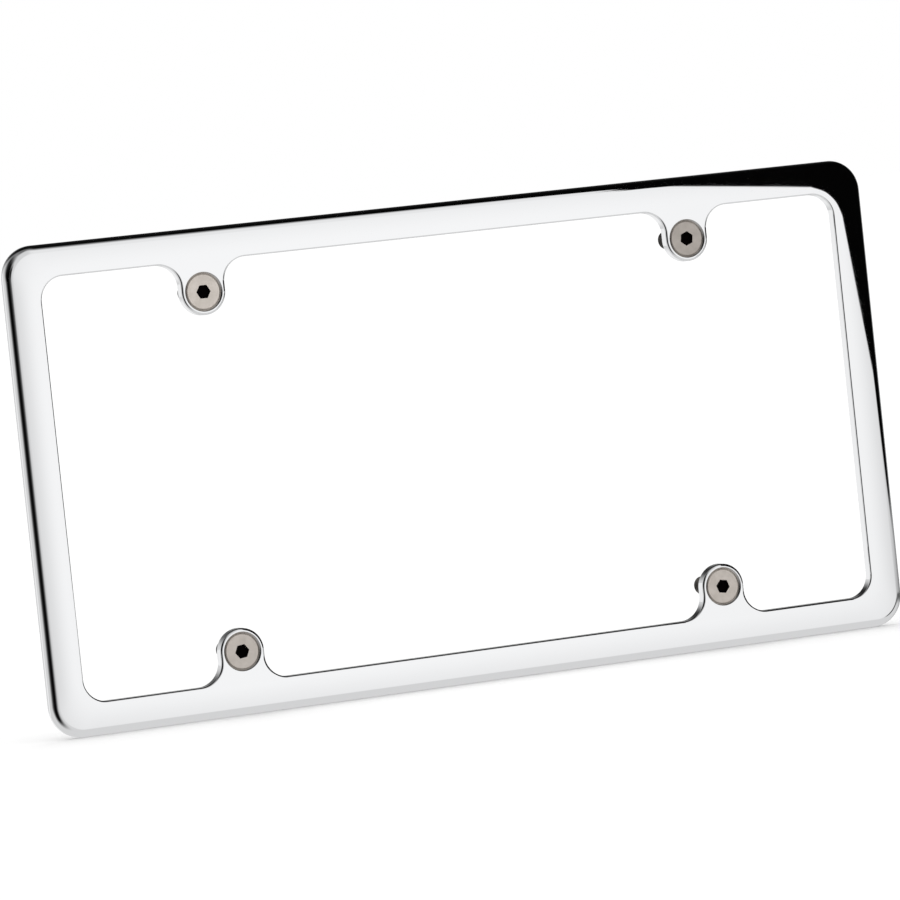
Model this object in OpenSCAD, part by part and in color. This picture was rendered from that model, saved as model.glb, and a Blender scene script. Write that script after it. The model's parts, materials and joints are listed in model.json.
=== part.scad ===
// Number plate holder: a polished billet frame with four ears, held by four
// countersunk hex socket screws. The front looks along -Y and +Z is up.
// The origin is the centre of the bolt pattern, on the plane that bears on the plate.

/* [Plate and bolts] */
// Width of the number plate that the back recess takes
plate_w = 304.8; // [303:0.1:306]
// Height of the number plate
plate_h = 152.4; // [151:0.1:153.5]
// Play between the plate's edge and the recess, each side
plate_gap = 0.4; // [0.1:0.1:1]
// Distance between the bolts, sideways
bolt_dx = 177.8; // [120:0.1:220]
// Distance between the bolts, up and down
bolt_dz = 120.65; // [114:0.05:123]

/* [Frame] */
// Overall width of the frame
frame_w = 314.9; // [312:0.1:330]
// Overall height of the frame
frame_h = 163.4; // [161:0.1:175]
// Full thickness of the billet, at the rim
billet_t = 4.76; // [4.4:0.01:8]
// Depth of the plate recess in the back
recess_d = 1; // [0.4:0.05:1.2]
// Width of the left and right bars
side_bar = 12; // [10.6:0.1:16]
// Width of the top and bottom bars
long_bar = 11.1; // [10.6:0.1:12]
// Radius of the outer corners
corner_r = 10.9; // [10:0.1:18]
// Radius of the window's corners
window_r = 7.9; // [4:0.1:14]
// Radius of the recess's corners
recess_r = 6.35; // [5:0.05:12]

/* [Edges] */
// Radius of the round on the outer front edge
edge_r = 3; // [1:0.1:3.4]
// Width of the crowned strip of the face, from the outer side
crown_w = 9.6; // [6:0.1:9.6]
// Radius of the crown
crown_r = 112; // [60:1:300]
// Radius of the small round on the window's front edge and the ears
window_edge_r = 0.85; // [0.2:0.05:0.9]
// Bevel on the outer back edge
back_bevel = 0.4; // [0.1:0.05:0.8]

/* [Ears] */
// Radius of an ear round its bolt
ear_r = 7.8; // [7.7:0.05:10]
// Radius of the inside curve between an ear and its bar
ear_root_r = 7.9; // [3:0.1:8.4]

/* [Bolt holes] */
// Diameter of the through hole in an ear
bore_d = 7.14; // [6.9:0.02:8]
// Diameter of the countersink at the face
sink_d = 13.3; // [12.8:0.1:13.4]
// Included angle of the countersink and of the screw head, in degrees
sink_angle = 82; // [80:1:90]

/* [Screws] */
// Diameter of the screw's shank
shank_d = 6.35; // [5.5:0.05:6.4]
// Length of the screw, from the top of its head to its tip
screw_l = 18.2; // [12:0.1:32]
// Diameter of the screw's head
head_d = 11.9; // [11:0.1:12]
// Height of the straight rim of the head
head_rim = 0.35; // [0.35:0.05:0.6]
// Bevel round the top of the head
head_bevel = 0.3; // [0.05:0.05:0.3]
// Film between the head's cone and the countersink, along the screw
seat_film = 0.03; // [0.01:0.01:0.1]
// Bevel at the tip of the screw
tip_bevel = 0.9; // [0.3:0.1:1.5]
// Size of the hex socket across its flats
hex_af = 3.97; // [3:0.01:4.4]
// Depth of the hex socket's flats
hex_depth = 2; // [1.2:0.1:2.4]
// Turn of each socket: top left, top right, bottom left, bottom right, in degrees
hex_turn = [0, 22, 7, 50];

/* [Hidden] */

// Overshoot of a cut past the face that it opens
over = 1;
// Facets of round shapes
$fn = 96;

// Thickness of the ears and of the bars over the recess
web_t = billet_t - recess_d;
// Half sizes of the window and the places of the bolts
win_x = frame_w / 2 - side_bar;
win_y = frame_h / 2 - long_bar;
bolt_x = bolt_dx / 2;
bolt_y = bolt_dz / 2;
// Centres of the outer corners
corner_x = frame_w / 2 - corner_r;
corner_y = frame_h / 2 - corner_r;
// Depth of the edge round's centre below the face, where it meets the crown smoothly
edge_y = crown_r - sqrt(pow(crown_r - edge_r, 2) - pow(crown_w - edge_r, 2));
// Distance from the outer side at which the edge round turns into the crown
edge_x = crown_w - crown_r * (crown_w - edge_r) / (crown_r - edge_r);
// Slope of the countersink's side
sink_slope = tan(sink_angle / 2);
// Depth below the face of the head's widest edge, and of the head's top
seat_depth = (sink_d - head_d) / 2 / sink_slope - seat_film;
head_top = seat_depth - head_rim;
// Height of the head's cone
cone_h = (head_d - shank_d) / 2 / sink_slope;
// Diameter of the hex socket across its corners
hex_d = hex_af / cos(30);

// The object is drawn lying on its back, with the face up, and then stood up
module stand_up() {
    rotate([90, 0, 0]) children();
}

// Copies in the four quarters of the frame
module quarters() {
    for (sx = [0, 1], sy = [0, 1])
        mirror([sx, 0, 0]) mirror([0, sy, 0]) children();
}

// Section of the rim: x runs inwards from the outer side, y runs down from the face
module rim_section(width) {
    // Edge round
    intersection() {
        translate([edge_r, -edge_y]) circle(edge_r);
        translate([0, -edge_y]) square([edge_x, edge_y]);
    }
    // Crown
    intersection() {
        translate([crown_w, -crown_r]) circle(crown_r, $fn = 720);
        translate([edge_x, -edge_y]) square([crown_w - edge_x, edge_y]);
    }
    // Flat land inside the crown
    translate([crown_w, -edge_y]) square([width - crown_w, edge_y]);
    // Straight side with the bevel on its back edge
    polygon([[0, -edge_y], [width, -edge_y], [width, -billet_t],
             [back_bevel, -billet_t], [0, back_bevel - billet_t]]);
}

// Straight stretch of rim along +X, with its outer side towards +Y
module rim_bar(length, outer_y, width) {
    translate([-length / 2, outer_y, web_t])
        rotate([90, 0, 90])
            linear_extrude(length)
                mirror([1, 0]) rim_section(width);
}

// Rounded outer corner of the rim
module rim_corner() {
    translate([corner_x, corner_y, web_t])
        rotate_extrude(angle = 90)
            translate([corner_r, 0]) mirror([1, 0]) rim_section(corner_r);
}

// Whole billet before the window is cut, with its crowned and rounded edge
module billet() {
    for (side = [0, 180]) {
        rotate(side) rim_bar(2 * corner_x, frame_h / 2, corner_r);
        rotate(side + 90) rim_bar(2 * corner_y, frame_w / 2, corner_r);
    }
    quarters() rim_corner();
    translate([-corner_x, -corner_y, -recess_d])
        cube([2 * corner_x, 2 * corner_y, billet_t]);
}

// Rounded rectangle about the origin
module rounded(w, h, r) {
    square([w - 2 * r, h], center = true);
    square([w, h - 2 * r], center = true);
    for (sx = [-1, 1], sy = [-1, 1])
        translate([sx * (w / 2 - r), sy * (h / 2 - r)]) circle(r);
}

// Outline of one ear, hanging from the upper bar at the bolt, with its curved roots
module ear_outline() {
    translate([bolt_x, bolt_y]) circle(ear_r);
    translate([bolt_x - ear_r, bolt_y]) square([2 * ear_r, win_y - bolt_y + over]);
    difference() {
        translate([bolt_x - ear_r - ear_root_r, win_y - ear_root_r])
            square([2 * (ear_r + ear_root_r), ear_root_r + over]);
        for (s = [-1, 1])
            translate([bolt_x + s * (ear_r + ear_root_r), win_y - ear_root_r])
                circle(ear_root_r);
    }
}

// Window with the ears left standing
module window_outline() {
    difference() {
        rounded(2 * win_x, 2 * win_y, window_r);
        quarters() ear_outline();
    }
}

// Section that rounds an edge: the wall is at x = 0 with the solid towards +X,
// and the face is at y = 0
module edge_cut() {
    difference() {
        translate([-over, -window_edge_r]) square(window_edge_r + over);
        translate([window_edge_r, -window_edge_r]) circle(window_edge_r);
    }
}

// Edge round on a curve whose centre is in the open window
module hollow_curve(x, y, r, from) {
    translate([x, y, web_t]) rotate(from)
        rotate_extrude(angle = 90) translate([r, 0]) edge_cut();
}

// Edge round on a curve whose centre is in the ear
module ear_curve() {
    translate([bolt_x, bolt_y, web_t]) rotate(180)
        rotate_extrude(angle = 180) translate([ear_r, 0]) mirror([1, 0]) edge_cut();
}

// Edge round on a straight stretch from one point to another, the solid on the left
module straight_edge(from, to) {
    run = to - from;
    translate([from[0], from[1], web_t]) rotate(atan2(run[1], run[0]))
        rotate([90, 0, 90]) linear_extrude(norm(run)) edge_cut();
}

// The small round along one quarter of the window's front edge
module quarter_edge() {
    root_y = win_y - ear_root_r;
    outer_x = bolt_x + ear_r;
    inner_x = bolt_x - ear_r;
    straight_edge([win_x, win_y - window_r], [win_x, 0]);
    hollow_curve(win_x - window_r, win_y - window_r, window_r, 0);
    straight_edge([outer_x + ear_root_r, win_y], [win_x - window_r, win_y]);
    hollow_curve(outer_x + ear_root_r, root_y, ear_root_r, 90);
    straight_edge([outer_x, bolt_y], [outer_x, root_y]);
    ear_curve();
    straight_edge([inner_x, root_y], [inner_x, bolt_y]);
    hollow_curve(inner_x - ear_root_r, root_y, ear_root_r, 0);
    straight_edge([0, win_y], [inner_x - ear_root_r, win_y]);
}

// Through hole and countersink of one ear
module bolt_hole() {
    translate([0, 0, -recess_d - over]) cylinder(d = bore_d, h = billet_t + 2 * over);
    translate([0, 0, web_t - (sink_d - bore_d) / 2 / sink_slope])
        cylinder(d1 = bore_d, d2 = sink_d, h = (sink_d - bore_d) / 2 / sink_slope);
    translate([0, 0, web_t]) cylinder(d = sink_d, h = over);
}

// The frame: one polished billet with its window, ears, bolt holes and plate recess
module frame() {
    color("gainsboro") stand_up() difference() {
        billet();
        translate([0, 0, -recess_d - over])
            linear_extrude(billet_t + 2 * over) window_outline();
        quarters() quarter_edge();
        translate([0, 0, -recess_d - over])
            linear_extrude(recess_d + over)
                rounded(plate_w + 2 * plate_gap, plate_h + 2 * plate_gap, recess_r);
        quarters() translate([bolt_x, bolt_y, 0]) bolt_hole();
    }
}

// One flat head screw, standing on its tip with the top of its head at z = 0
module flat_screw(turn) {
    difference() {
        union() {
            translate([0, 0, -head_bevel])
                cylinder(d1 = head_d, d2 = head_d - 2 * head_bevel, h = head_bevel);
            translate([0, 0, -head_rim])
                cylinder(d = head_d, h = head_rim - head_bevel);
            translate([0, 0, -head_rim - cone_h])
                cylinder(d1 = shank_d, d2 = head_d, h = cone_h);
            translate([0, 0, tip_bevel - screw_l])
                cylinder(d = shank_d, h = screw_l - tip_bevel - head_rim);
            translate([0, 0, -screw_l])
                cylinder(d1 = shank_d - 2 * tip_bevel, d2 = shank_d, h = tip_bevel);
        }
        // Hex socket with its drilled point
        translate([0, 0, -hex_depth]) rotate(turn)
            cylinder(d = hex_d, h = hex_depth + over, $fn = 6);
        translate([0, 0, -hex_depth - hex_af / 4])
            cylinder(d1 = 0, d2 = hex_af, h = hex_af / 4);
    }
}

// A screw seated in its ear: sx and sy say which quarter
module seated_screw(sx, sy, turn) {
    color("silver") stand_up()
        translate([sx * bolt_x, sy * bolt_y, web_t - head_top]) flat_screw(turn);
}

module screw_top_left() { seated_screw(-1, 1, hex_turn[0]); }
module screw_top_right() { seated_screw(1, 1, hex_turn[1]); }
module screw_bottom_left() { seated_screw(-1, -1, hex_turn[2]); }
module screw_bottom_right() { seated_screw(1, -1, hex_turn[3]); }

frame();
screw_top_left();
screw_top_right();
screw_bottom_left();
screw_bottom_right();
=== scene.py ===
"""Looks of a polished number plate frame with four countersunk screws.

Laid out as an add-on: one operator for the frame, one for the screws and one for the
studio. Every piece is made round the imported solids, in metres, in their own frame:
+X to the right of the front, +Y out of the back, +Z up.
"""
import json
import math

import bmesh
import bpy
from bpy.props import FloatProperty, FloatVectorProperty, IntProperty, PointerProperty
from mathutils import Matrix, Vector


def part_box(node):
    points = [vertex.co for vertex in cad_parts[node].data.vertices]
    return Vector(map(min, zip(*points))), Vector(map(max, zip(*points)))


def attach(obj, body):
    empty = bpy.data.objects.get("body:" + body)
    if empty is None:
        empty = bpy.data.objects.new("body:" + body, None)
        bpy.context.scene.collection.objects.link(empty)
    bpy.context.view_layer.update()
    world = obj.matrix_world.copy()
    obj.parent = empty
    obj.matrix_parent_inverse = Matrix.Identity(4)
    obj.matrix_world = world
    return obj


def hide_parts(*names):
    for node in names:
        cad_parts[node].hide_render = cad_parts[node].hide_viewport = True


bl_info = {
    "name": "Polished Plate Frame",
    "version": (1, 0, 0),
    "blender": (4, 5, 0),
    "location": "3D View > Sidebar > Plate Frame",
    "description": "Builds a polished number plate frame, its four screws and a white studio",
    "category": "Object",
}

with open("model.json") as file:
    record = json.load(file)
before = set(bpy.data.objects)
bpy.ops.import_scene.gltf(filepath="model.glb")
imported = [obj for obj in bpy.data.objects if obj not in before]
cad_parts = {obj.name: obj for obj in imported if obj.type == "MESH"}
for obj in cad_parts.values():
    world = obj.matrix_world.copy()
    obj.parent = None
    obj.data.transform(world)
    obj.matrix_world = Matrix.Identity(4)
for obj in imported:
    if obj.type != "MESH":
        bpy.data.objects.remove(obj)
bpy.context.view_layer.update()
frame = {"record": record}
LOW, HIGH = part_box("frame")
MOUNTS = {mount["name"]: mount for mount in frame["record"]["mounts"]}
PATTERN = MOUNTS["plate_bolts"]["dims"]

MM = 0.001
MICRON = 1e-6
RIGHT_ANGLE = math.radians(90)
BOLT_X, BOLT_Y = PATTERN["spacing_x_mm"] * MM / 2, PATTERN["spacing_y_mm"] * MM / 2
SCREW_LOW, SCREW_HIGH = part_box("screw_top_left")

# The screws by name, with the side of the middle that each is on.
SCREWS = {
    "top_left": (-1, 1),
    "top_right": (1, 1),
    "bottom_left": (-1, -1),
    "bottom_right": (1, -1),
}

# Points closer than this are welded, and edges that bend by more than this stay sharp.
WELD = MICRON
CREASE = math.radians(28)

# Facets of the round parts, and points along the small round on the window's edge.
HOLE_FACETS = 96
SCREW_FACETS = 64
DRILL_FACETS = 24
HEX_SIDES = 6
WINDOW_EDGE_POINTS = 9

# The thread has this many rows of points a turn. Its flank falls from one row to another,
# counted from the crest, and the thread deepens between these turns under the head.
THREAD_ROWS = 16
FLANK_ROWS = (1.0, 6.0)
RUN_IN = (0.2, 1.4)

# The drilled hole in a socket, against the socket's flats, and the slope of its point.
DRILL_WIDTH = 0.95
DRILL_SLOPE = math.radians(31)

# Heights of the faint waves in the polish, the milling marks and the turning rings.
WAVES, MILL_MARKS, RINGS = 1.5 * MICRON, 3 * MICRON, 1.5 * MICRON

# Most values of a noise texture lie in this range.
NOISE = (0.3, 0.7)

# Lowest and highest roughness of the milled finish. Those of the polished face and of the
# satin heads are shares of the roughness in their sizes.
MILLED = (0.2, 0.3)
POLISH_SPREAD = (1, 2)
SATIN_SPREAD = (0.85, 1.2)

# The socket's inside, painted near black as shade: its roughness, gloss and two shade colours.
SOCKET_ROUGHNESS, SOCKET_GLOSS = 0.7, 0.02
SOCKET_SHADE = ((0.001, 0.0005, 0.0005), (0.005, 0.003, 0.003))

# Width of the camera's sensor in millimetres, and how far the floor reaches in metres.
SENSOR = 36
FLOOR_REACH = 60

# How bright the room is that the metal reflects, where no card covers it.
WALL = 0.685

# Light on diffuse surfaces, against the white that the camera sees. It thins the shadow on
# the floor.
FLOOR_LIGHT = 1.08

# The cards that the metal reflects, each over those before it: its name, its brightness, and
# the rounds that bound it together. A round is the azimuth and elevation of its middle, in
# degrees to the right of the front and above the horizon, and the angles from there at which
# it starts to fade and ends. A round of about 90 degrees has a straight edge.
CARDS = (
    ("floor", 0.688, ((0, -90, 86, 89),)),
    ("bright panel", 0.84, ((105, 0, 85, 93), (-60, 0, 85, 100), (0, 90, 102, 112),
                            (0, -90, 130, 150))),
    ("lamp", 0.984, ((21.1, -1.1, 0.8, 14.1),)),
    ("back wall", 0.9, ((-146, -2, 14, 15.6),)),
    ("back floor", 0.93, ((165, -13, 8, 20),)),
    ("back floor, left", 0.9, ((-177, -14, 10, 18),)),
    ("left flag, low", 0.005, ((-41, -17, 12, 45),)),
    ("left flag, middle", 0.0, ((-59, 19, 18, 48),)),
    ("left flag, edge", 0.02, ((-22, 11, 5, 17.5),)),
    ("left flag, high", 0.012, ((-85, 47, 0.5, 55),)),
    ("back flag", 0.02, ((-181, 47, 19, 45),)),
    ("ceiling, back", 0.0, ((155, 70, 14, 40),)),
    ("ceiling, front", 0.138, ((-17, 73, 3, 25),)),
    ("right wall", 0.013, ((125, 30, 7.5, 75),)),
    ("ceiling, right", 0.003, ((84, 50, 19, 44),)),
    ("skirting", 0.12, ((0, -90, 84, 87), (0, 90, 98, 108), (85, -8, 30, 50))),
    ("corner shade", 0.03, ((39, -13, 5.5, 8.5),)),
    ("right flag", 0.001, ((85, 86.55, 89.75, 90.25), (113.3, -6.2, 89.95, 90.05),
                           (110.45, -12.8, 89.95, 90.05), (116.1, 13.1, 89.95, 90.05),
                           (115.3, 75.3, 89.95, 90.05), (60, 20, 46, 62))),
)


def length(name, description, default):
    """A length in metres that a user may change."""
    return FloatProperty(name=name, description=description, default=default, min=0,
                         precision=5, unit="LENGTH")


def angle(name, description, default):
    """An angle given in degrees here and kept in radians."""
    return FloatProperty(name=name, description=description, unit="ROTATION",
                         default=math.radians(default))


def share(name, description, default):
    """A plain number from nought to one."""
    return FloatProperty(name=name, description=description, default=default, min=0, max=1,
                         precision=3)


def colour(name, description, default):
    """A linear colour."""
    return FloatVectorProperty(name=name, description=description, default=default,
                               subtype="COLOR", size=3, min=0, max=1)


class FrameSizes(bpy.types.PropertyGroup):
    """Sizes and finish of the billet frame."""

    width: length("Width", "Overall width", HIGH.x - LOW.x)
    height: length("Height", "Overall height", HIGH.z - LOW.z)
    face: length("Face", "Height of the face over the bearing floor", -LOW.y)
    recess: length("Recess", "Depth of the plate recess in the back", HIGH.y)
    side_bar: length("Side bar", "Width of the left and right bars", 12 * MM)
    long_bar: length("Long bar", "Width of the top and bottom bars", 11.1 * MM)
    corner: length("Corner", "Radius of the outer corners", 10.9 * MM)
    window_corner: length("Window corner", "Radius of the window's corners", 7.9 * MM)
    edge: length("Edge", "Radius of the round on the outer front edge", 3 * MM)
    crown_width: length("Crown width", "Width of the crowned strip", 9.6 * MM)
    crown_radius: length("Crown radius", "Radius of the crown", 112 * MM)
    crown_corner: length("Crown corner", "Radius of the crown's inner corners", 10 * MM)
    window_edge: length("Window edge", "Small round on the window's front edge", 0.85 * MM)
    slimmed: share("Slimmed", "Width of that round along the bars, against the ears", 0.62)
    back_bevel: length("Back bevel", "Bevel on the outer back edge", 0.4 * MM)
    plate_width: length("Plate width", "Width of the recess for the plate", 305.6 * MM)
    plate_height: length("Plate height", "Height of the recess for the plate", 153.2 * MM)
    plate_corner: length("Plate corner", "Radius of the recess's corners", 6.35 * MM)
    ear: length("Ear", "Radius of an ear round its bolt", 7.8 * MM)
    ear_root: length("Ear root", "Radius of the curve between an ear and its bar", 7.9 * MM)
    bore: length("Bore", "Radius of the through hole", 3.57 * MM)
    sink: length("Countersink", "Radius of the countersink at the face", 6.65 * MM)
    segments: IntProperty(name="Segments", description="Facets of each rounded corner",
                          default=48, min=4, max=64)
    metal: colour("Metal", "Colour of the polished aluminium", (0.93, 0.935, 0.945))
    # Colour of the holes, darker than the metal: painted shade in the countersinks and bores round
    # the heads.
    cut: colour("Cut", "Colour of the unpolished countersinks and bores", (0.55, 0.54, 0.53))
    polish: share("Polish", "Roughness of the polished face", 0.01)


class ScrewSizes(bpy.types.PropertyGroup):
    """Sizes and finish of the four screws."""

    top: length("Top", "Height of the head's top over the bearing floor", -SCREW_LOW.y)
    end: FloatProperty(name="End", description="Height of the tip, which is below the floor",
                       default=-SCREW_HIGH.y, precision=5, unit="LENGTH")
    head: length("Head", "Radius of the head", 5.95 * MM)
    head_rim: length("Head rim", "Height of the head's straight rim", 0.35 * MM)
    head_bevel: length("Head bevel", "Bevel round the top of the head", 0.3 * MM)
    cone: angle("Cone", "Included angle of the head and of the countersink", 82)
    shank: length("Shank", "Radius of the thread's crest", 3.175 * MM)
    pitch: length("Pitch", "Pitch of the thread", 1.27 * MM)
    thread: length("Thread depth", "Depth of the thread", 0.78 * MM)
    tip: length("Tip bevel", "Bevel at the tip", 0.9 * MM)
    hexagon: length("Hexagon", "Half the socket's size across its flats", 1.985 * MM)
    hex_depth: length("Hexagon depth", "Depth of the socket's flats", 2 * MM)
    mouth: length("Mouth", "Small bevel at the socket's mouth", 0.25 * MM)
    turns: FloatVectorProperty(
        name="Turns", description="Turn of each socket, in degrees, in the screws' order",
        default=(0, 22, 7, 50), size=4)
    metal: colour("Metal", "Colour of the satin stainless steel", (0.96, 0.88, 0.81))
    stain: colour("Stain", "Colour of its darker spots", (0.84, 0.77, 0.7))
    # The thread behind the bearing floor is painted dark as shade.
    shaded: colour("Oiled", "Colour of the dark, oiled thread", (0.16, 0.15, 0.14))
    # Each head is darkened by its share, as painted shade.
    shades: FloatVectorProperty(
        name="Shades", description="How far each head is dulled, in the screws' order",
        default=(0, 0.23, 0.2, 0.1), size=4, min=0, max=1)
    satin: share("Satin", "Roughness of the satin heads", 0.33)


class StudioSettings(bpy.types.PropertyGroup):
    """Camera, floor and light."""

    camera: FloatVectorProperty(
        name="Camera", description="Place of the camera", unit="LENGTH", size=3,
        default=(-0.7522, -1.8391, 0.0797))
    aim: FloatVectorProperty(
        name="Aim", description="Point that the camera looks at", unit="LENGTH", size=3,
        default=(-0.00702, -0.00376, -0.00204))
    roll: angle("Roll", "Turn of the camera about its own axis", -6.068)
    lens: FloatProperty(name="Lens", description="Focal length on a 36 mm wide sensor",
                        default=234.275, min=10, subtype="DISTANCE_CAMERA")
    floor: colour("Floor", "Colour of the floor", (0.998, 0.998, 0.998))


def crown_tilt(sizes):
    """Slope of the crown where the edge round begins."""
    return math.asin((sizes.crown_width - sizes.edge) / (sizes.crown_radius - sizes.edge))


def edge_depth(sizes):
    """Depth below the face of the edge round's centre, which meets the crown smoothly."""
    return sizes.crown_radius - (sizes.crown_radius - sizes.edge) * math.cos(crown_tilt(sizes))


class Nodes:
    """A node tree that is built one node at a time."""

    def __init__(self, group):
        self.group = group

    def add(self, node_type, *plugs, named=None, **settings):
        """Adds a node, fills its sockets and returns its first output."""
        node = self.group.nodes.new(node_type)
        for name, value in settings.items():
            setattr(node, name, value)
        shown = [socket for socket in node.inputs if socket.enabled]
        filled = list(zip(shown, plugs))
        filled += [(node.inputs[name], value) for name, value in (named or {}).items()]
        for socket, value in filled:
            if isinstance(value, bpy.types.NodeSocket):
                self.group.links.new(value, socket)
            elif value is not None:
                socket.default_value = value
        return next(socket for socket in node.outputs if socket.enabled)

    def maths(self, operation, *values):
        """Arithmetic on numbers."""
        return self.add("ShaderNodeMath", *values, operation=operation)

    def vectors(self, operation, *values):
        """Arithmetic on vectors."""
        return self.add("ShaderNodeVectorMath", *values, operation=operation)

    def scaled(self, vector, factor):
        """A vector times a number."""
        return self.add("ShaderNodeVectorMath", operation="SCALE",
                        named={"Vector": vector, "Scale": factor})

    def parts(self, vector):
        """The x, y and z of a vector."""
        node = self.group.nodes.new("ShaderNodeSeparateXYZ")
        self.group.links.new(vector, node.inputs[0])
        return node.outputs

    def vector(self, x=0.0, y=0.0, z=0.0):
        """A vector from three numbers."""
        return self.add("ShaderNodeCombineXYZ", x, y, z)

    def ramp(self, value, start, end, low=0.0, high=1.0, smooth=False):
        """A number that goes from low to high as a value goes from start to end."""
        return self.add("ShaderNodeMapRange", value, start, end, low, high,
                        interpolation_type="SMOOTHSTEP" if smooth else "LINEAR")

    def mixed(self, share_of_second, first, second):
        """A mix of two numbers."""
        return self.add("ShaderNodeMix", share_of_second, first, second, data_type="FLOAT")

    def tinted(self, share_of_second, first, second):
        """A mix of two colours, each of which is a socket or a plain colour."""
        first, second = [colour if isinstance(colour, bpy.types.NodeSocket) else (*colour, 1)
                         for colour in (first, second)]
        return self.add("ShaderNodeMix", share_of_second, first, second, data_type="RGBA")

    def from_bolt(self, place):
        """How far a place is from the axis of the nearest bolt."""
        offset = self.vectors("SUBTRACT", self.vectors("ABSOLUTE", place), (BOLT_X, 0, BOLT_Y))
        return self.vectors("LENGTH", self.vectors("MULTIPLY", offset, (1, 0, 1)))

    def surface(self):
        """The place of a point on its piece, and the way its surface faces there."""
        outputs = self.group.nodes.new("ShaderNodeTexCoord").outputs
        return outputs["Object"], outputs["Normal"]

    def noise(self, place, scale, detail):
        """A noise texture's value at a place."""
        return self.add("ShaderNodeTexNoise", named={
            "Vector": place, "Scale": scale, "Detail": detail})

    def bump(self, height):
        """The way a surface faces once it is raised by a height in metres."""
        return self.add("ShaderNodeBump", named={
            "Strength": 1.0, "Distance": 1.0, "Height": height})

    def wire(self, node, sources):
        """Links outputs to the inputs of a node, by the names of the inputs."""
        for name, source in sources.items():
            self.group.links.new(source, node.inputs[name])


class Tree(Nodes):
    """A geometry node tree with named inputs."""

    def __init__(self, name, inputs):
        super().__init__(bpy.data.node_groups.new(name, "GeometryNodeTree"))
        self.values = inputs
        self.keys = {}
        self.socket("Geometry", "INPUT", "NodeSocketGeometry")
        for label, value in inputs.items():
            self.keys[label] = self.socket(label, "INPUT", self.kind(value)).identifier
        self.socket("Geometry", "OUTPUT", "NodeSocketGeometry")
        self.given = self.group.nodes.new("NodeGroupInput").outputs

    def socket(self, label, way, kind):
        """Adds a socket to the tree's own inputs or outputs."""
        return self.group.interface.new_socket(label, in_out=way, socket_type=kind)

    @staticmethod
    def kind(value):
        """The socket type that holds a value."""
        if isinstance(value, int):
            return "NodeSocketInt"
        return "NodeSocketFloat" if isinstance(value, float) else "NodeSocketVector"

    def place(self):
        """The position field."""
        return self.add("GeometryNodeInputPosition")

    def join(self, *parts):
        """Several geometries as one."""
        node = self.group.nodes.new("GeometryNodeJoinGeometry")
        for part in reversed(parts):
            self.group.links.new(part, node.inputs[0])
        return node.outputs[0]

    def line(self, start, end):
        """A straight curve between two points."""
        return self.add("GeometryNodeCurvePrimitiveLine", start, end)

    def arc(self, centre, radius, start, sweep, count):
        """An arc about a centre, from one angle through another."""
        curve = self.add("GeometryNodeCurveArc", mode="RADIUS", named={
            "Resolution": count, "Radius": radius, "Start Angle": start, "Sweep Angle": sweep})
        return self.add("GeometryNodeTransform", curve, named={"Translation": centre})

    def circle(self, radius, count):
        """A circle about the origin."""
        return self.add("GeometryNodeCurvePrimitiveCircle",
                        named={"Resolution": count, "Radius": radius})

    def rounded(self, width, height, radius, count):
        """A rectangle with rounded corners."""
        corners = self.add("GeometryNodeCurvePrimitiveQuadrilateral", width, height)
        return self.add("GeometryNodeFilletCurve", corners, mode="POLY",
                        named={"Count": count, "Radius": radius})

    def from_corner(self, centre):
        """The direction away from the nearest point of the rectangle with this corner."""
        nearest = self.vectors("MINIMUM", centre, self.vectors(
            "MAXIMUM", self.place(), self.scaled(centre, -1)))
        return self.vectors("NORMALIZE", self.vectors("SUBTRACT", self.place(), nearest))

    def reach(self, direction, to_side, shift, radius):
        """How far a ray goes from a corner's inner centre to a rounded outline round it.

        The sides stand to_side away. The corner's radius is about a centre that is shifted
        outwards both ways.
        """
        x, y, _ = self.parts(self.vectors("ABSOLUTE", direction))
        big, small = self.maths("MAXIMUM", x, y), self.maths("MINIMUM", x, y)
        both = self.maths("MULTIPLY", shift, self.maths("ADD", big, small))
        missed = self.maths("MULTIPLY", self.maths("MULTIPLY", shift, shift), 2.0)
        square = self.maths("ADD", self.maths("SUBTRACT", self.maths("MULTIPLY", both, both),
                                              missed), self.maths("MULTIPLY", radius, radius))
        to_curve = self.maths("ADD", both, self.maths("SQRT", self.maths(
            "MAXIMUM", square, 0.0)))
        on_side = self.maths("LESS_THAN", self.maths("MULTIPLY", to_side, small),
                             self.maths("MULTIPLY", shift, big))
        return self.mixed(on_side, to_curve, self.maths("DIVIDE", to_side, big))

    def inset(self, rail, side, distance):
        """A rail moved against its side direction."""
        moved = self.vectors("SUBTRACT", self.place(), self.scaled(side, distance))
        return self.add("GeometryNodeSetPosition", rail, named={"Position": moved})

    def kept(self, curve, **fields):
        """Keeps fields on a curve. Returns the curve and the kept fields."""
        node = self.group.nodes.new("GeometryNodeCaptureAttribute")
        self.group.links.new(curve, node.inputs[0])
        for label, field in fields.items():
            node.capture_items.new("VECTOR", label)
            self.group.links.new(field, node.inputs[label])
        return [node.outputs[0]] + [node.outputs[label] for label in fields]

    def sweep(self, rail, side, section):
        """Sweeps a section along a rail. The section's x runs against side, its y runs up."""
        rail, point, across = self.kept(rail, point=self.place(), across=side)
        section, profile = self.kept(section, profile=self.place())
        mesh = self.add("GeometryNodeCurveToMesh", rail, section)
        inward, rise, _ = self.parts(profile)
        place = self.vectors("SUBTRACT", point, self.scaled(across, inward))
        place = self.vectors("ADD", place, self.vector(z=rise))
        return self.add("GeometryNodeSetPosition", mesh, named={"Position": place})

    def fill(self, height, *curves):
        """A flat face between curves, at a height."""
        mesh = self.add("GeometryNodeFillCurve", self.join(*curves), mode="NGONS")
        return self.add("GeometryNodeTransform", mesh,
                        named={"Translation": self.vector(z=height)})

    def on_points(self, points, geometry):
        """Real copies of a geometry on points."""
        copies = self.add("GeometryNodeInstanceOnPoints", named={
            "Points": points, "Instance": geometry})
        return self.add("GeometryNodeRealizeInstances", copies)

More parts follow.
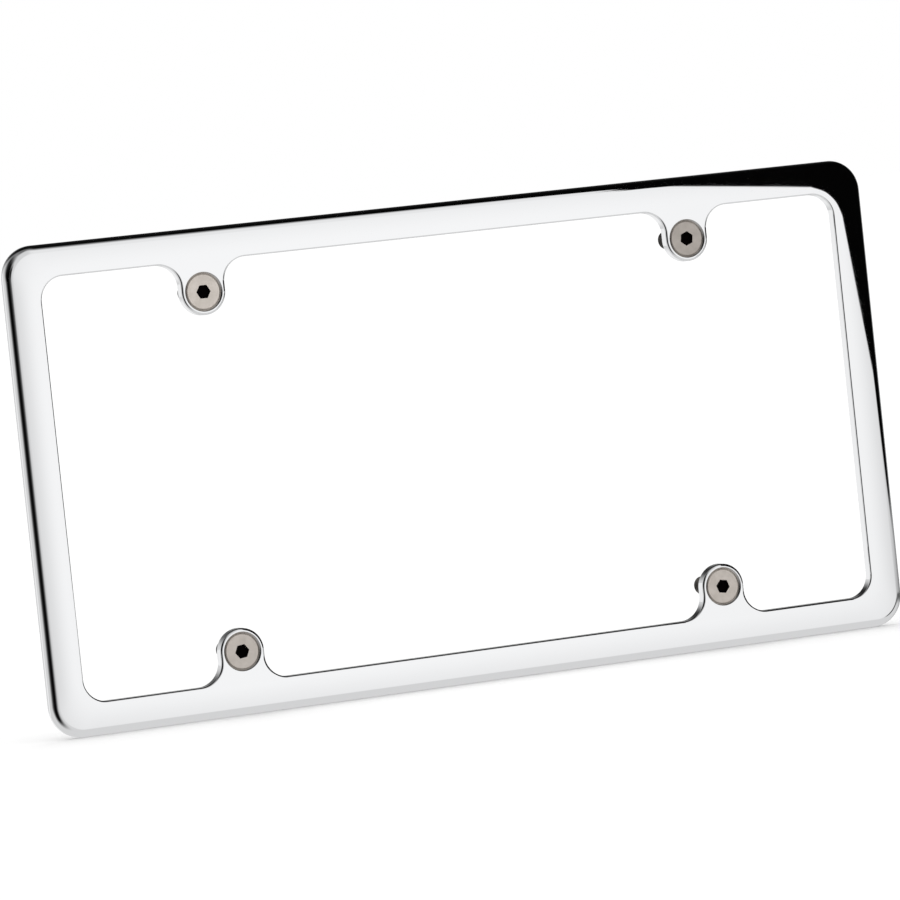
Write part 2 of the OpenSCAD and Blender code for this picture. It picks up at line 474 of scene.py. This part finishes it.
    def marked(self, geometry):
        """Marks the faces of a geometry, which get the second material."""
        return self.add("GeometryNodeStoreNamedAttribute", geometry, data_type="BOOLEAN",
                        domain="FACE", named={"Name": "marked", "Value": True})

    def finish(self, geometry, material, second=None):
        """Stands the parts up, makes them real, welds them and sets their materials."""
        real = self.add("GeometryNodeTransform", geometry,
                        named={"Rotation": (RIGHT_ANGLE, 0, 0)})
        real = self.add("GeometryNodeRealizeInstances", real)
        real = self.add("GeometryNodeMergeByDistance", real, named={"Distance": WELD})
        real = self.add("GeometryNodeSetShadeSmooth", real)
        real = self.add("GeometryNodeSetMaterial", real, named={"Material": material})
        if second:
            marks = self.add("GeometryNodeInputNamedAttribute", "marked", data_type="BOOLEAN")
            real = self.add("GeometryNodeSetMaterial", real, named={
                "Selection": marks, "Material": second})
        output = self.group.nodes.new("NodeGroupOutput")
        self.group.links.new(real, output.inputs[0])


def baked(name, start, tree, **changes):
    """Runs a tree on a starting mesh and keeps the result as a plain, closed mesh."""
    obj = bpy.data.objects.new(name, start)
    bpy.context.scene.collection.objects.link(obj)
    modifier = obj.modifiers.new("Nodes", "NODES")
    modifier.node_group = tree.group
    for label, value in {**tree.values, **changes}.items():
        modifier[tree.keys[label]] = value
    graph = bpy.context.evaluated_depsgraph_get()
    mesh = bpy.data.meshes.new_from_object(obj.evaluated_get(graph), depsgraph=graph,
                                           preserve_all_data_layers=True)
    obj.modifiers.remove(modifier)
    obj.data = mesh
    mesh.name = name
    bpy.data.meshes.remove(start)
    tidy_normals(obj)
    return obj


def tidy_normals(obj):
    """Faces outward, sharp creases, and normals that keep the flat faces flat.

    An open edge is an error, because every piece is a closed solid.
    """
    work = bmesh.new()
    work.from_mesh(obj.data)
    bmesh.ops.recalc_face_normals(work, faces=work.faces)
    loose = [edge for edge in work.edges if not edge.is_manifold]
    for edge in work.edges:
        edge.smooth = not edge.is_manifold or edge.calc_face_angle() < CREASE
    work.to_mesh(obj.data)
    work.free()
    if loose:
        raise RuntimeError(f"{obj.name} is open at {len(loose)} edges")
    weighted = obj.modifiers.new("Weighted normals", "WEIGHTED_NORMAL")
    weighted.keep_sharp = True


def window_corners(sizes):
    """The window's sharp corners with the radius that rounds each, counter-clockwise."""
    x, y = sizes.width / 2 - sizes.side_bar, sizes.height / 2 - sizes.long_bar
    quarter = [
        (x, y, sizes.window_corner),
        (BOLT_X + sizes.ear, y, sizes.ear_root),
        (BOLT_X + sizes.ear, BOLT_Y - sizes.ear, sizes.ear),
        (BOLT_X - sizes.ear, BOLT_Y - sizes.ear, sizes.ear),
        (BOLT_X - sizes.ear, y, sizes.ear_root),
    ]
    corners = []
    for turn, (sx, sy) in enumerate(((1, 1), (-1, 1), (-1, -1), (1, -1))):
        part = [(sx * px, sy * py, radius) for px, py, radius in quarter]
        corners += part[::-1] if turn % 2 else part
    return corners


def corner_mesh(corners):
    """A loop of edges through the corners, with each corner's radius kept on it."""
    mesh = bpy.data.meshes.new("corners")
    count = len(corners)
    mesh.from_pydata([(x, y, 0) for x, y, _ in corners],
                     [(k, (k + 1) % count) for k in range(count)], [])
    kept = mesh.attributes.new("fillet", "FLOAT", "POINT")
    kept.data.foreach_set("value", [radius for _, _, radius in corners])
    return mesh


def billet_tree(sizes, material):
    """The tree that sweeps the rim and the window's edge and fills the flats between."""
    half = Vector((sizes.width / 2, sizes.height / 2, 0))
    outer_inset, inner_inset = sizes.corner, sizes.crown_width + sizes.crown_corner
    depth, tilt = edge_depth(sizes), crown_tilt(sizes)
    edge_width = sizes.edge * (1 - math.sin(tilt))
    sink_foot = sizes.face - (sizes.sink - sizes.bore) / math.tan(
        bpy.context.scene.screw_sizes.cone / 2)
    tree = Tree("Billet frame", {
        "Crown loop width": 2 * (half.x - sizes.crown_width),
        "Crown loop height": 2 * (half.y - sizes.crown_width),
        "Crown corner radius": sizes.crown_corner,
        "Crown corner centre": half - Vector((inner_inset, inner_inset, 0)),
        "Crown span": sizes.crown_width - edge_width,
        "Corner centre": half - Vector((outer_inset, outer_inset, 0)),
        "Corner shift": inner_inset - outer_inset,
        "Junction radius": sizes.corner - edge_width,
        "Segments": sizes.segments,
        "Face": sizes.face,
        "Bevel foot": Vector((sizes.back_bevel, -sizes.recess, 0)),
        "Back bevel": sizes.back_bevel,
        "Back": -sizes.recess,
        "Side foot": Vector((0, sizes.back_bevel - sizes.recess, 0)),
        "Edge radius": sizes.edge,
        "Edge centre": Vector((sizes.edge, sizes.face - depth, 0)),
        "Edge top": Vector((0, sizes.face - depth, 0)),
        "Edge sweep": tilt - RIGHT_ANGLE,
        "Edge width": edge_width,
        "Crown radius": sizes.crown_radius,
        "Crown centre": Vector((0, sizes.face - sizes.crown_radius, 0)),
        "Crown start": tilt + RIGHT_ANGLE,
        "Crown sweep": -tilt,
        "Window edge": sizes.window_edge,
        "Window edge centre": Vector((sizes.window_edge, sizes.face - sizes.window_edge, 0)),
        "Window wall top": Vector((0, sizes.face - sizes.window_edge, 0)),
        "Slimmed": sizes.slimmed,
        "Ear reach": sizes.ear + sizes.window_edge,
        "Bar reach": sizes.ear + sizes.ear_root,
        "Recess width": sizes.plate_width,
        "Recess height": sizes.plate_height,
        "Recess corner": sizes.plate_corner,
        "Bolts across": 2 * BOLT_X,
        "Bolts up": 2 * BOLT_Y,
        "Countersink radius": sizes.sink,
        "Countersink top": Vector((0, sizes.face, 0)),
        "Countersink foot": Vector((sizes.sink - sizes.bore, sink_foot, 0)),
        "Bore foot": Vector((sizes.sink - sizes.bore, 0, 0)),
        "Bore radius": sizes.bore,
    })
    given = tree.given
    zero = (0, 0, 0)

    crown_loop = tree.rounded(given["Crown loop width"], given["Crown loop height"],
                              given["Crown corner radius"], given["Segments"])
    fan = tree.from_corner(given["Crown corner centre"])
    reach = tree.reach(fan, tree.maths("ADD", given["Crown span"], given["Crown corner radius"]),
                       given["Corner shift"], given["Junction radius"])
    spread = tree.scaled(fan, tree.maths("DIVIDE", tree.maths(
        "SUBTRACT", reach, given["Crown corner radius"]), given["Crown span"]))
    crown_loop, spread = tree.kept(crown_loop, spread=spread)
    crown = tree.sweep(crown_loop, spread, tree.arc(
        given["Crown centre"], given["Crown radius"], given["Crown start"],
        given["Crown sweep"], given["Segments"]))
    junction = tree.inset(crown_loop, spread, tree.maths("MULTIPLY", given["Crown span"], -1.0))
    outward = tree.from_corner(given["Corner centre"])
    outline = tree.inset(junction, outward, tree.maths("MULTIPLY", given["Edge width"], -1.0))
    rim_section = tree.join(
        tree.line(given["Bevel foot"], given["Side foot"]),
        tree.line(given["Side foot"], given["Edge top"]),
        tree.arc(given["Edge centre"], given["Edge radius"], 2 * RIGHT_ANGLE,
                 given["Edge sweep"], given["Segments"]))
    rim = tree.sweep(outline, outward, rim_section)

    corners = tree.add("GeometryNodeMeshToCurve", given["Geometry"])
    fillet = tree.add("GeometryNodeInputNamedAttribute", "fillet", data_type="FLOAT")
    window = tree.add("GeometryNodeFilletCurve", corners, mode="POLY", named={
        "Count": given["Segments"], "Radius": fillet})
    window = tree.add("GeometryNodeMergeByDistance", tree.add(
        "GeometryNodeCurveToMesh", window), named={"Distance": WELD})
    window = tree.add("GeometryNodeMeshToCurve", window)
    tangent = tree.add("GeometryNodeInputTangent")
    across, up, _ = tree.parts(tree.place())
    width = tree.ramp(tree.from_bolt(tree.vector(across, 0.0, up)), given["Ear reach"],
                      given["Bar reach"], 1.0, given["Slimmed"], smooth=True)
    open_side = tree.scaled(tree.vectors("CROSS_PRODUCT", (0, 0, 1), tangent), width)
    window_section = tree.join(
        tree.arc(given["Window edge centre"], given["Window edge"], RIGHT_ANGLE, RIGHT_ANGLE,
                 WINDOW_EDGE_POINTS),
        tree.line(given["Window wall top"], zero))
    window_wall = tree.sweep(window, open_side, window_section)

    bolts = tree.add("GeometryNodeMeshGrid", named={
        "Size X": given["Bolts across"], "Size Y": given["Bolts up"],
        "Vertices X": 2, "Vertices Y": 2})
    sink = tree.circle(given["Countersink radius"], HOLE_FACETS)
    bore = tree.circle(given["Bore radius"], HOLE_FACETS)
    from_bolt = tree.vectors("NORMALIZE", tree.place())
    hole_section = tree.join(tree.line(given["Countersink top"], given["Countersink foot"]),
                             tree.line(given["Countersink foot"], given["Bore foot"]))
    holes = tree.on_points(bolts, tree.sweep(sink, from_bolt, hole_section))

    recess = tree.rounded(given["Recess width"], given["Recess height"],
                          given["Recess corner"], given["Segments"])
    recess_wall = tree.sweep(recess, tree.place(), tree.line(
        zero, tree.vector(y=given["Back"])))

    face = tree.fill(given["Face"], crown_loop,
                     tree.inset(window, open_side, given["Window edge"]),
                     tree.on_points(bolts, sink))
    floor = tree.fill(0.0, recess, window, tree.on_points(bolts, bore))
    back_rim = tree.fill(given["Back"], tree.inset(outline, outward, given["Back bevel"]),
                         recess)
    tree.finish(tree.join(rim, crown, window_wall, holes, recess_wall, face, floor, back_rim),
                material)
    return tree


class PLATE_OT_frame(bpy.types.Operator):
    """Builds the polished billet frame in place of its solid"""

    bl_idname = "plate.frame"
    bl_label = "Polished frame"

    def execute(self, context):
        sizes = context.scene.frame_sizes
        material = polished_aluminium(sizes)
        piece = baked("polished_frame", corner_mesh(window_corners(sizes)),
                      billet_tree(sizes, material))
        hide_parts("frame")
        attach(piece, "root")
        return {"FINISHED"}


def screw_tree(sizes, steel, dark):
    """The tree that makes a flat head screw with a hex socket and a helical thread."""
    foot = sizes.top - sizes.head_rim - (sizes.head - sizes.shank) / math.tan(sizes.cone / 2)
    turns = (foot - sizes.end) / sizes.pitch
    windings = math.ceil(turns) + 1
    corner = sizes.hexagon / math.cos(math.pi / HEX_SIDES)
    floor = sizes.top - sizes.hex_depth
    drill = sizes.hexagon * DRILL_WIDTH
    tree = Tree("Flat head screw", {
        "Bolt": Vector((0, 0, 0)),
        "Turn": Vector((0, 0, 0)),
        "Top": sizes.top,
        "Foot": foot,
        "End": sizes.end,
        "Head radius": sizes.head,
        "Flat radius": sizes.head - sizes.head_bevel,
        "Flat edge": Vector((sizes.head_bevel, sizes.top, 0)),
        "Bevel foot": Vector((0, sizes.top - sizes.head_bevel, 0)),
        "Rim foot": Vector((0, sizes.top - sizes.head_rim, 0)),
        "Cone foot": Vector((sizes.head - sizes.shank, foot, 0)),
        "Pitch": sizes.pitch,
        "Turns": turns,
        "Windings": float(windings),
        "Rows": windings * THREAD_ROWS + 1,
        "Crest": sizes.shank,
        "Thread depth": sizes.thread,
        "End radius": sizes.shank - sizes.tip,
        "Socket corner": corner,
        "Mouth corner": corner + sizes.mouth,
        "Mouth edge": Vector((0, sizes.top, 0)),
        "Mouth foot": Vector((sizes.mouth, sizes.top - sizes.mouth, 0)),
        "Socket top": Vector((0, sizes.top - sizes.mouth, 0)),
        "Socket foot": Vector((0, floor, 0)),
        "Socket floor": floor,
        "Drill radius": drill,
        "Drill point": Vector((drill, floor - drill * math.tan(DRILL_SLOPE), 0)),
    })
    given = tree.given
    outward = tree.vectors("NORMALIZE", tree.place())

    head_section = tree.join(tree.line(given["Flat edge"], given["Bevel foot"]),
                             tree.line(given["Bevel foot"], given["Rim foot"]),
                             tree.line(given["Rim foot"], given["Cone foot"]))
    head = tree.sweep(tree.circle(given["Head radius"], SCREW_FACETS), outward, head_section)

    mouth, socket = [
        tree.add("GeometryNodeTransform", tree.circle(given[label], HEX_SIDES),
                 named={"Rotation": given["Turn"]})
        for label in ("Mouth corner", "Socket corner")]
    top = tree.fill(given["Top"], tree.circle(given["Flat radius"], SCREW_FACETS), mouth)
    mouth_bevel = tree.sweep(mouth, outward, tree.line(given["Mouth edge"],
                                                       given["Mouth foot"]))
    walls = tree.sweep(socket, outward, tree.line(given["Socket top"], given["Socket foot"]))
    drill_ring = tree.circle(given["Drill radius"], DRILL_FACETS)
    floor_ring = tree.fill(given["Socket floor"], socket, drill_ring)
    drilled = tree.sweep(drill_ring, outward, tree.line(given["Socket foot"],
                                                        given["Drill point"]))
    # The socket's faces get the second material, painted near black as shade.
    recess = tree.marked(tree.join(mouth_bevel, walls, floor_ring, drilled))

    grid = tree.add("GeometryNodeMeshGrid", named={
        "Size X": 1.0, "Size Y": 1.0, "Vertices X": SCREW_FACETS + 1, "Vertices Y": given["Rows"]})
    around, along, _ = tree.parts(tree.vectors("ADD", tree.place(), (0.5, 0.5, 0)))
    start = tree.maths("MULTIPLY", along, given["Windings"])
    wound = tree.maths("SUBTRACT", tree.maths("ADD", start, around), 1.0)
    wound = tree.maths("MINIMUM", tree.maths("MAXIMUM", wound, 0.0), given["Turns"])
    row = tree.maths("ROUND", tree.maths("MULTIPLY", start, float(THREAD_ROWS)))
    from_crest = tree.maths("PINGPONG", tree.maths("SUBTRACT", row, 1.0), THREAD_ROWS / 2)
    depth = tree.maths("MULTIPLY", tree.ramp(from_crest, *FLANK_ROWS), given["Thread depth"])
    depth = tree.maths("MULTIPLY", depth, tree.ramp(wound, *RUN_IN))
    past_end = tree.maths("MULTIPLY", tree.maths("SUBTRACT", given["Turns"], wound),
                          given["Pitch"])
    radius = tree.maths("MINIMUM", tree.maths("SUBTRACT", given["Crest"], depth),
                        tree.maths("ADD", given["End radius"], past_end))
    swing = tree.maths("MULTIPLY", around, -2 * math.pi)
    drop = tree.maths("MULTIPLY", wound, given["Pitch"])
    thread = tree.add("GeometryNodeSetPosition", grid, named={"Position": tree.vector(
        tree.maths("MULTIPLY", radius, tree.maths("COSINE", swing)),
        tree.maths("MULTIPLY", radius, tree.maths("SINE", swing)),
        tree.maths("SUBTRACT", given["Foot"], drop))})
    end = tree.fill(given["End"], tree.circle(given["End radius"], SCREW_FACETS))

    whole = tree.join(top, head, recess, thread, end)
    whole = tree.add("GeometryNodeTransform", whole, named={"Translation": given["Bolt"]})
    tree.finish(whole, steel, dark)
    return tree


class PLATE_OT_screws(bpy.types.Operator):
    """Builds the four threaded screws in place of their solids"""

    bl_idname = "plate.screws"
    bl_label = "Threaded screws"

    def execute(self, context):
        sizes = context.scene.screw_sizes
        tree = screw_tree(sizes, satin_steel(sizes), painted_shade_socket())
        for (name, sides), turn in zip(SCREWS.items(), sizes.turns):
            bolt = Vector((sides[0] * BOLT_X, sides[1] * BOLT_Y, 0))
            piece = baked(f"threaded_screw_{name}", bpy.data.meshes.new("start"), tree,
                          Bolt=bolt, Turn=Vector((0, 0, math.radians(turn))))
            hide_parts(f"screw_{name}")
            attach(piece, "root")
        return {"FINISHED"}


def new_material(name):
    """A node material. Returns it with its nodes and its main shader."""
    material = bpy.data.materials.new(name)
    material.use_nodes = True
    return material, Nodes(material.node_tree), material.node_tree.nodes["Principled BSDF"]


def polished_aluminium(sizes):
    """Mirror polished aluminium, milled on the back and in the holes, which are painted darker as
    shade.
    """
    material, nodes, shader = new_material("polished_aluminium")
    shader.inputs["Metallic"].default_value = 1
    place, facing = nodes.surface()
    back = nodes.maths("GREATER_THAN", nodes.parts(facing)["Y"], 0.5)
    in_hole = nodes.maths("LESS_THAN", nodes.from_bolt(place), sizes.sink)
    # The holes at the front are milled, and painted darker as shade round the heads.
    cut = nodes.maths("GREATER_THAN", nodes.maths("SUBTRACT", in_hole, back), 0.5)
    haze = nodes.noise(place, scale=90.0, detail=4.0)
    front = nodes.ramp(haze, *NOISE, *(sizes.polish * part for part in POLISH_SPREAD))
    milled = nodes.ramp(haze, *NOISE, *MILLED)
    wave = nodes.noise(place, scale=55.0, detail=1.0)
    marks = nodes.add("ShaderNodeTexWave", bands_direction="DIAGONAL", named={
        "Vector": place, "Scale": 320.0, "Distortion": 1.5, "Detail": 1.0})
    height = nodes.mixed(back, nodes.maths("MULTIPLY", wave, WAVES),
                         nodes.maths("MULTIPLY", marks, MILL_MARKS))
    nodes.wire(shader, {
        "Base Color": nodes.tinted(cut, sizes.metal, sizes.cut),
        "Roughness": nodes.mixed(nodes.maths("MAXIMUM", back, cut), front, milled),
        "Normal": nodes.bump(height)})
    return material


def satin_steel(sizes):
    """Satin stainless steel, faint turning rings on the heads, and painted shade on heads and
    thread.
    """
    material, nodes, shader = new_material("satin_stainless")
    shader.inputs["Metallic"].default_value = 1
    place, _ = nodes.surface()
    rings = nodes.noise(nodes.vector(nodes.from_bolt(place)), scale=9000.0, detail=2.0)
    mottle = nodes.noise(place, scale=420.0, detail=3.0)
    across, along, up = nodes.parts(place)
    right, high = nodes.maths("GREATER_THAN", across, 0), nodes.maths("GREATER_THAN", up, 0)
    # Painted shade: each head is darkened by its own share.
    high_left, high_right, low_left, low_right = sizes.shades
    head_shade = nodes.mixed(high, nodes.mixed(right, low_left, low_right),
                       nodes.mixed(right, high_left, high_right))
    tint = nodes.tinted(nodes.ramp(mottle, *NOISE), sizes.metal, sizes.stain)
    tint = nodes.tinted(head_shade, tint, (0, 0, 0))
    # The thread behind the bearing floor is painted dark as shade.
    tint = nodes.tinted(nodes.maths("GREATER_THAN", along, 0), tint, sizes.shaded)
    nodes.wire(shader, {
        "Base Color": tint,
        "Roughness": nodes.ramp(rings, *NOISE, *(sizes.satin * part for part in SATIN_SPREAD)),
        "Normal": nodes.bump(nodes.maths("MULTIPLY", rings, RINGS))})
    return material


def painted_shade_socket():
    """The inside of a hex socket, painted near black as shade in the recess."""
    material, nodes, shader = new_material("painted_shade_socket")
    shader.inputs["Roughness"].default_value = SOCKET_ROUGHNESS
    shader.inputs["Specular IOR Level"].default_value = SOCKET_GLOSS
    place, _ = nodes.surface()
    shade_noise = nodes.noise(place, scale=900.0, detail=2.0)
    nodes.wire(shader, {"Base Color": nodes.tinted(shade_noise, *SOCKET_SHADE)})
    return material


class PLATE_OT_studio(bpy.types.Operator):
    """Sets the camera, the floor and the light"""

    bl_idname = "plate.studio"
    bl_label = "Studio"

    def execute(self, context):
        settings = context.scene.studio_settings
        place_camera(context.scene, settings)
        lay_floor(context.scene, settings)
        light_world(context.scene)
        context.scene.view_settings.view_transform = "Standard"
        return {"FINISHED"}


def place_camera(scene, settings):
    """The camera at the photograph's viewing angle."""
    lens = bpy.data.cameras.new("camera")
    lens.lens, lens.sensor_width = settings.lens, SENSOR
    camera = bpy.data.objects.new("camera", lens)
    scene.collection.objects.link(camera)
    away = Vector(settings.aim) - Vector(settings.camera)
    turn = away.to_track_quat("-Z", "Y").to_matrix() @ Matrix.Rotation(settings.roll, 3, "Z")
    camera.matrix_world = Matrix.Translation(settings.camera) @ turn.to_4x4()
    scene.camera = camera


def lay_floor(scene, settings):
    """A wide pale floor under the frame."""
    mesh = bpy.data.meshes.new("floor")
    corners = [(x * FLOOR_REACH, y * FLOOR_REACH, LOW.z)
               for x, y in ((-1, -1), (1, -1), (1, 1), (-1, 1))]
    mesh.from_pydata(corners, [], [(0, 1, 2, 3)])
    floor = bpy.data.objects.new("floor", mesh)
    scene.collection.objects.link(floor)
    floor.visible_glossy = False
    material, nodes, shader = new_material("pale_floor")
    shader.inputs["Base Color"].default_value = (*settings.floor, 1)
    shader.inputs["Roughness"].default_value = 1
    shader.inputs["Specular IOR Level"].default_value = 0
    mesh.materials.append(material)


def light_world(scene):
    """Even white light from all round, and the cards that the metal reflects.

    The camera sees plain white, and the floor is lit a little brighter than that.
    """
    world = bpy.data.worlds.new("white_room")
    world.use_nodes = True
    nodes = Nodes(world.node_tree)
    direction = nodes.add("ShaderNodeTexCoord")
    tone = WALL
    for name, brightness, rounds in CARDS:
        cover = 1.0
        for azimuth, elevation, near, far in rounds:
            turn, rise = math.radians(azimuth), math.radians(elevation)
            middle = (math.sin(turn) * math.cos(rise), -math.cos(turn) * math.cos(rise),
                      math.sin(rise))
            away = nodes.maths("ARCCOSINE", nodes.vectors("DOT_PRODUCT", direction, middle))
            inside = nodes.ramp(away, math.radians(far), math.radians(near), smooth=True)
            cover = nodes.maths("MULTIPLY", cover, inside)
        tone = nodes.mixed(cover, tone, brightness)
        tone.node.label = name
    path = nodes.group.nodes.new("ShaderNodeLightPath")
    plain = nodes.mixed(path.outputs["Is Diffuse Ray"], 1.0, FLOOR_LIGHT)
    seen = nodes.mixed(path.outputs["Is Glossy Ray"], plain, tone)
    nodes.wire(nodes.group.nodes["Background"], {"Color": seen})
    scene.world = world


class PLATE_PT_panel(bpy.types.Panel):
    """Lists the operators."""

    bl_idname = "PLATE_PT_panel"
    bl_label = "Plate Frame"
    bl_space_type = "VIEW_3D"
    bl_region_type = "UI"
    bl_category = "Plate Frame"

    def draw(self, context):
        for operator in OPERATORS:
            self.layout.operator(operator.bl_idname)


OPERATORS = (PLATE_OT_studio, PLATE_OT_frame, PLATE_OT_screws)
CLASSES = (FrameSizes, ScrewSizes, StudioSettings, *OPERATORS, PLATE_PT_panel)


def register():
    for cls in CLASSES:
        bpy.utils.register_class(cls)
    bpy.types.Scene.frame_sizes = PointerProperty(type=FrameSizes)
    bpy.types.Scene.screw_sizes = PointerProperty(type=ScrewSizes)
    bpy.types.Scene.studio_settings = PointerProperty(type=StudioSettings)


def unregister():
    del bpy.types.Scene.studio_settings
    del bpy.types.Scene.screw_sizes
    del bpy.types.Scene.frame_sizes
    for cls in reversed(CLASSES):
        bpy.utils.unregister_class(cls)


def main():
    """Builds everything."""
    register()
    bpy.ops.plate.studio()
    bpy.ops.plate.frame()
    bpy.ops.plate.screws()


if __name__ == "__main__":
    main()
